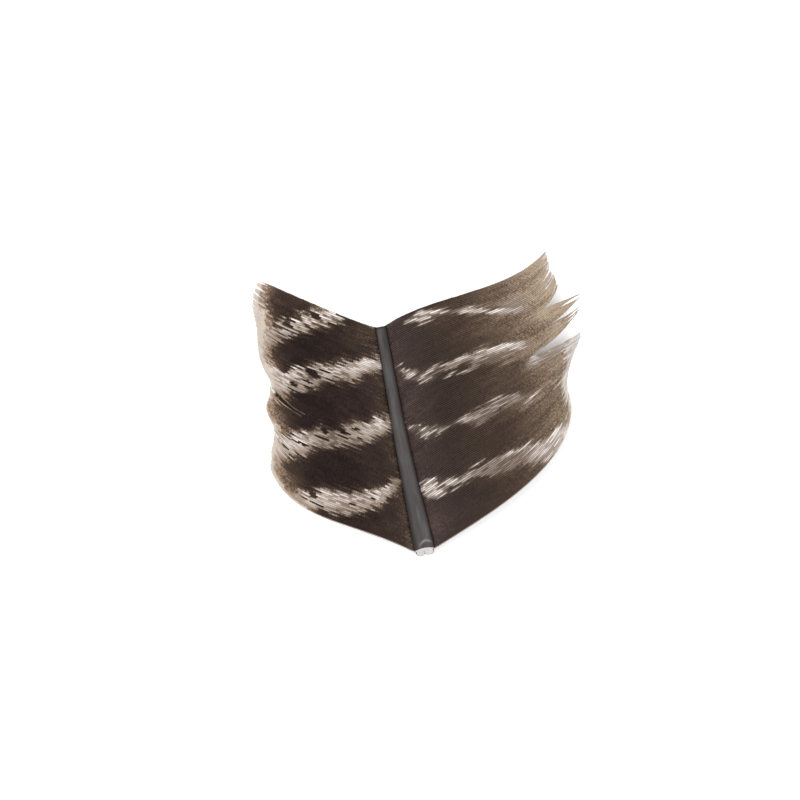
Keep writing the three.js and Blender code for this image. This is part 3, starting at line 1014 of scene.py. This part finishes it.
# streak: how far the streaks are drawn out along the barbs
# barb: width of the finest streaks, in mm
# ragged, stain, rim_ragged: how much the barb, tuft, patch and grain streaks add to a bar's
#     outline, to the brown and to the rim's outline
# fade: where a bar begins and where it is whole, in mm inside its outline
# halo: how much lighter the brown is beside a bar
# fringe: how brown the lower edge of a bar is
# rufous, outline: how strong the rufous inside the rim and the line along the edge are
# half: the colour between the brown and a bar
# cream, white and rim_low, rim: the dullest and the lightest streaks of a bar and of the rim
# cast_near, cast: what the brown is multiplied by beside the shaft and further out
LEFT_LOOK = {
    "streak": 2.9,
    "barb": 0.45,
    "ragged": (3.2, 1.2, 1.5, 1.2),
    "stain": (0.28, 0.2, 0.2, 0.6),
    "rim_ragged": (5.0, 2.5, 1.0, 2.0),
    "fade": (-0.5, 0.7),
    "halo": 0.3,
    "fringe": 0.6,
    "rufous": 0.9,
    "outline": 0.75,
    "half": shade(148, 132, 119),
    "cream": shade(192, 178, 167),
    "white": shade(228, 221, 217),
    "rim": shade(208, 197, 186),
    "rim_low": shade(160, 144, 130),
    "cast": (1.0, 0.96, 0.92, 1),
    "cast_near": (1.0, 1.0, 1.0, 1),
}
RIGHT_LOOK = {
    "streak": 5.0,
    "barb": 0.31,
    "ragged": (2.4, 1.2, 0.8, 0.6),
    "stain": (0.1, 0.1, 0.16, 0.27),
    "rim_ragged": (7.0, 2.0, 0.0, 0.8),
    "fade": (-0.6, 0.4),
    "halo": 0.08,
    "fringe": 0.3,
    "rufous": 0.0,
    "outline": 0.4,
    "half": shade(141, 126, 115),
    "cream": shade(187, 175, 167),
    "white": shade(228, 221, 217),
    "rim": shade(222, 215, 210),
    "rim_low": shade(178, 165, 154),
    "cast": (1.0, 0.99, 0.93, 1),
    "cast_near": (0.96, 0.98, 1.16, 1),
}
left_barbs = barbs("left_barbs", LEFT_VANE, LEFT_BARS, LEFT_DASHES, left_tone,
                   barb_finish("left_barbs", LEFT_LOOK))
right_barbs = barbs("right_barbs", RIGHT_VANE, RIGHT_BARS, [], right_tone,
                    barb_finish("right_barbs", RIGHT_LOOK))
shaft = quill(quill_finish())
pith = pith_finish()
base_pith = pith_plug("base_pith", up_low=-0.0008, up_high=0.012, material=pith)
top_pith = pith_plug("top_pith", up_low=0.988, up_high=0.9995, material=pith)

for piece, node in ((left_barbs, "left_vane"), (right_barbs, "right_vane"), (shaft, "shaft")):
    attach(piece, "root")
    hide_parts(node)
for piece in (base_pith, top_pith):
    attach(piece, "root")


# ---------------- floor, light and camera

def floor():
    plane = bmesh.new()
    bmesh.ops.create_grid(plane, x_segments=1, y_segments=1, size=3.0)
    finish = Finish("floor")
    finish.surface(shade(246, 246, 247), 0.9, 0.1)
    finish.shader.inputs["Emission Color"].default_value = (1, 1, 1, 1)
    finish.shader.inputs["Emission Strength"].default_value = 0.25
    new_piece("floor", plane, finish.material)


def softbox(name, place, size, watts):
    light = bpy.data.lights.new(name, "AREA")
    light.shape = "RECTANGLE"
    light.size, light.size_y = size
    light.energy = watts
    lamp = bpy.data.objects.new(name, light)
    lamp.location = place
    lamp.rotation_euler = Vector(place).to_track_quat("Z", "Y").to_euler()
    bpy.context.collection.objects.link(lamp)


def camera():
    """Straight above, turned so that the shaft leans to the left."""
    lens, sensor = 85.0, 36.0
    view_width = 177.3            # mm across the view at the floor
    centre = (0.95, 34.1)         # the view's middle, in the feather's frame
    lean = 10.94                  # degrees
    view = bpy.data.cameras.new("camera")
    view.lens, view.sensor_width = lens, sensor
    view.clip_start, view.clip_end = 0.01, 10
    eye = bpy.data.objects.new("camera", view)
    x, y, _ = placed([*centre, 0])
    eye.location = (x, y, view_width * MM * lens / sensor)
    eye.rotation_euler = (0, 0, -math.radians(lean))
    bpy.context.collection.objects.link(eye)
    bpy.context.scene.camera = eye


floor()
softbox("key", (-0.5, 0.45, 0.8), (0.7, 0.7), 9.0)
softbox("fill", (0.7, -0.3, 0.7), (0.9, 0.9), 5.0)
world = bpy.data.worlds.new("studio")
world.use_nodes = True
backdrop = world.node_tree.nodes["Background"]
backdrop.inputs["Color"].default_value = (1, 1, 1, 1)
backdrop.inputs["Strength"].default_value = 0.7
bpy.context.scene.world = world
bpy.context.scene.view_settings.view_transform = "Standard"
camera()
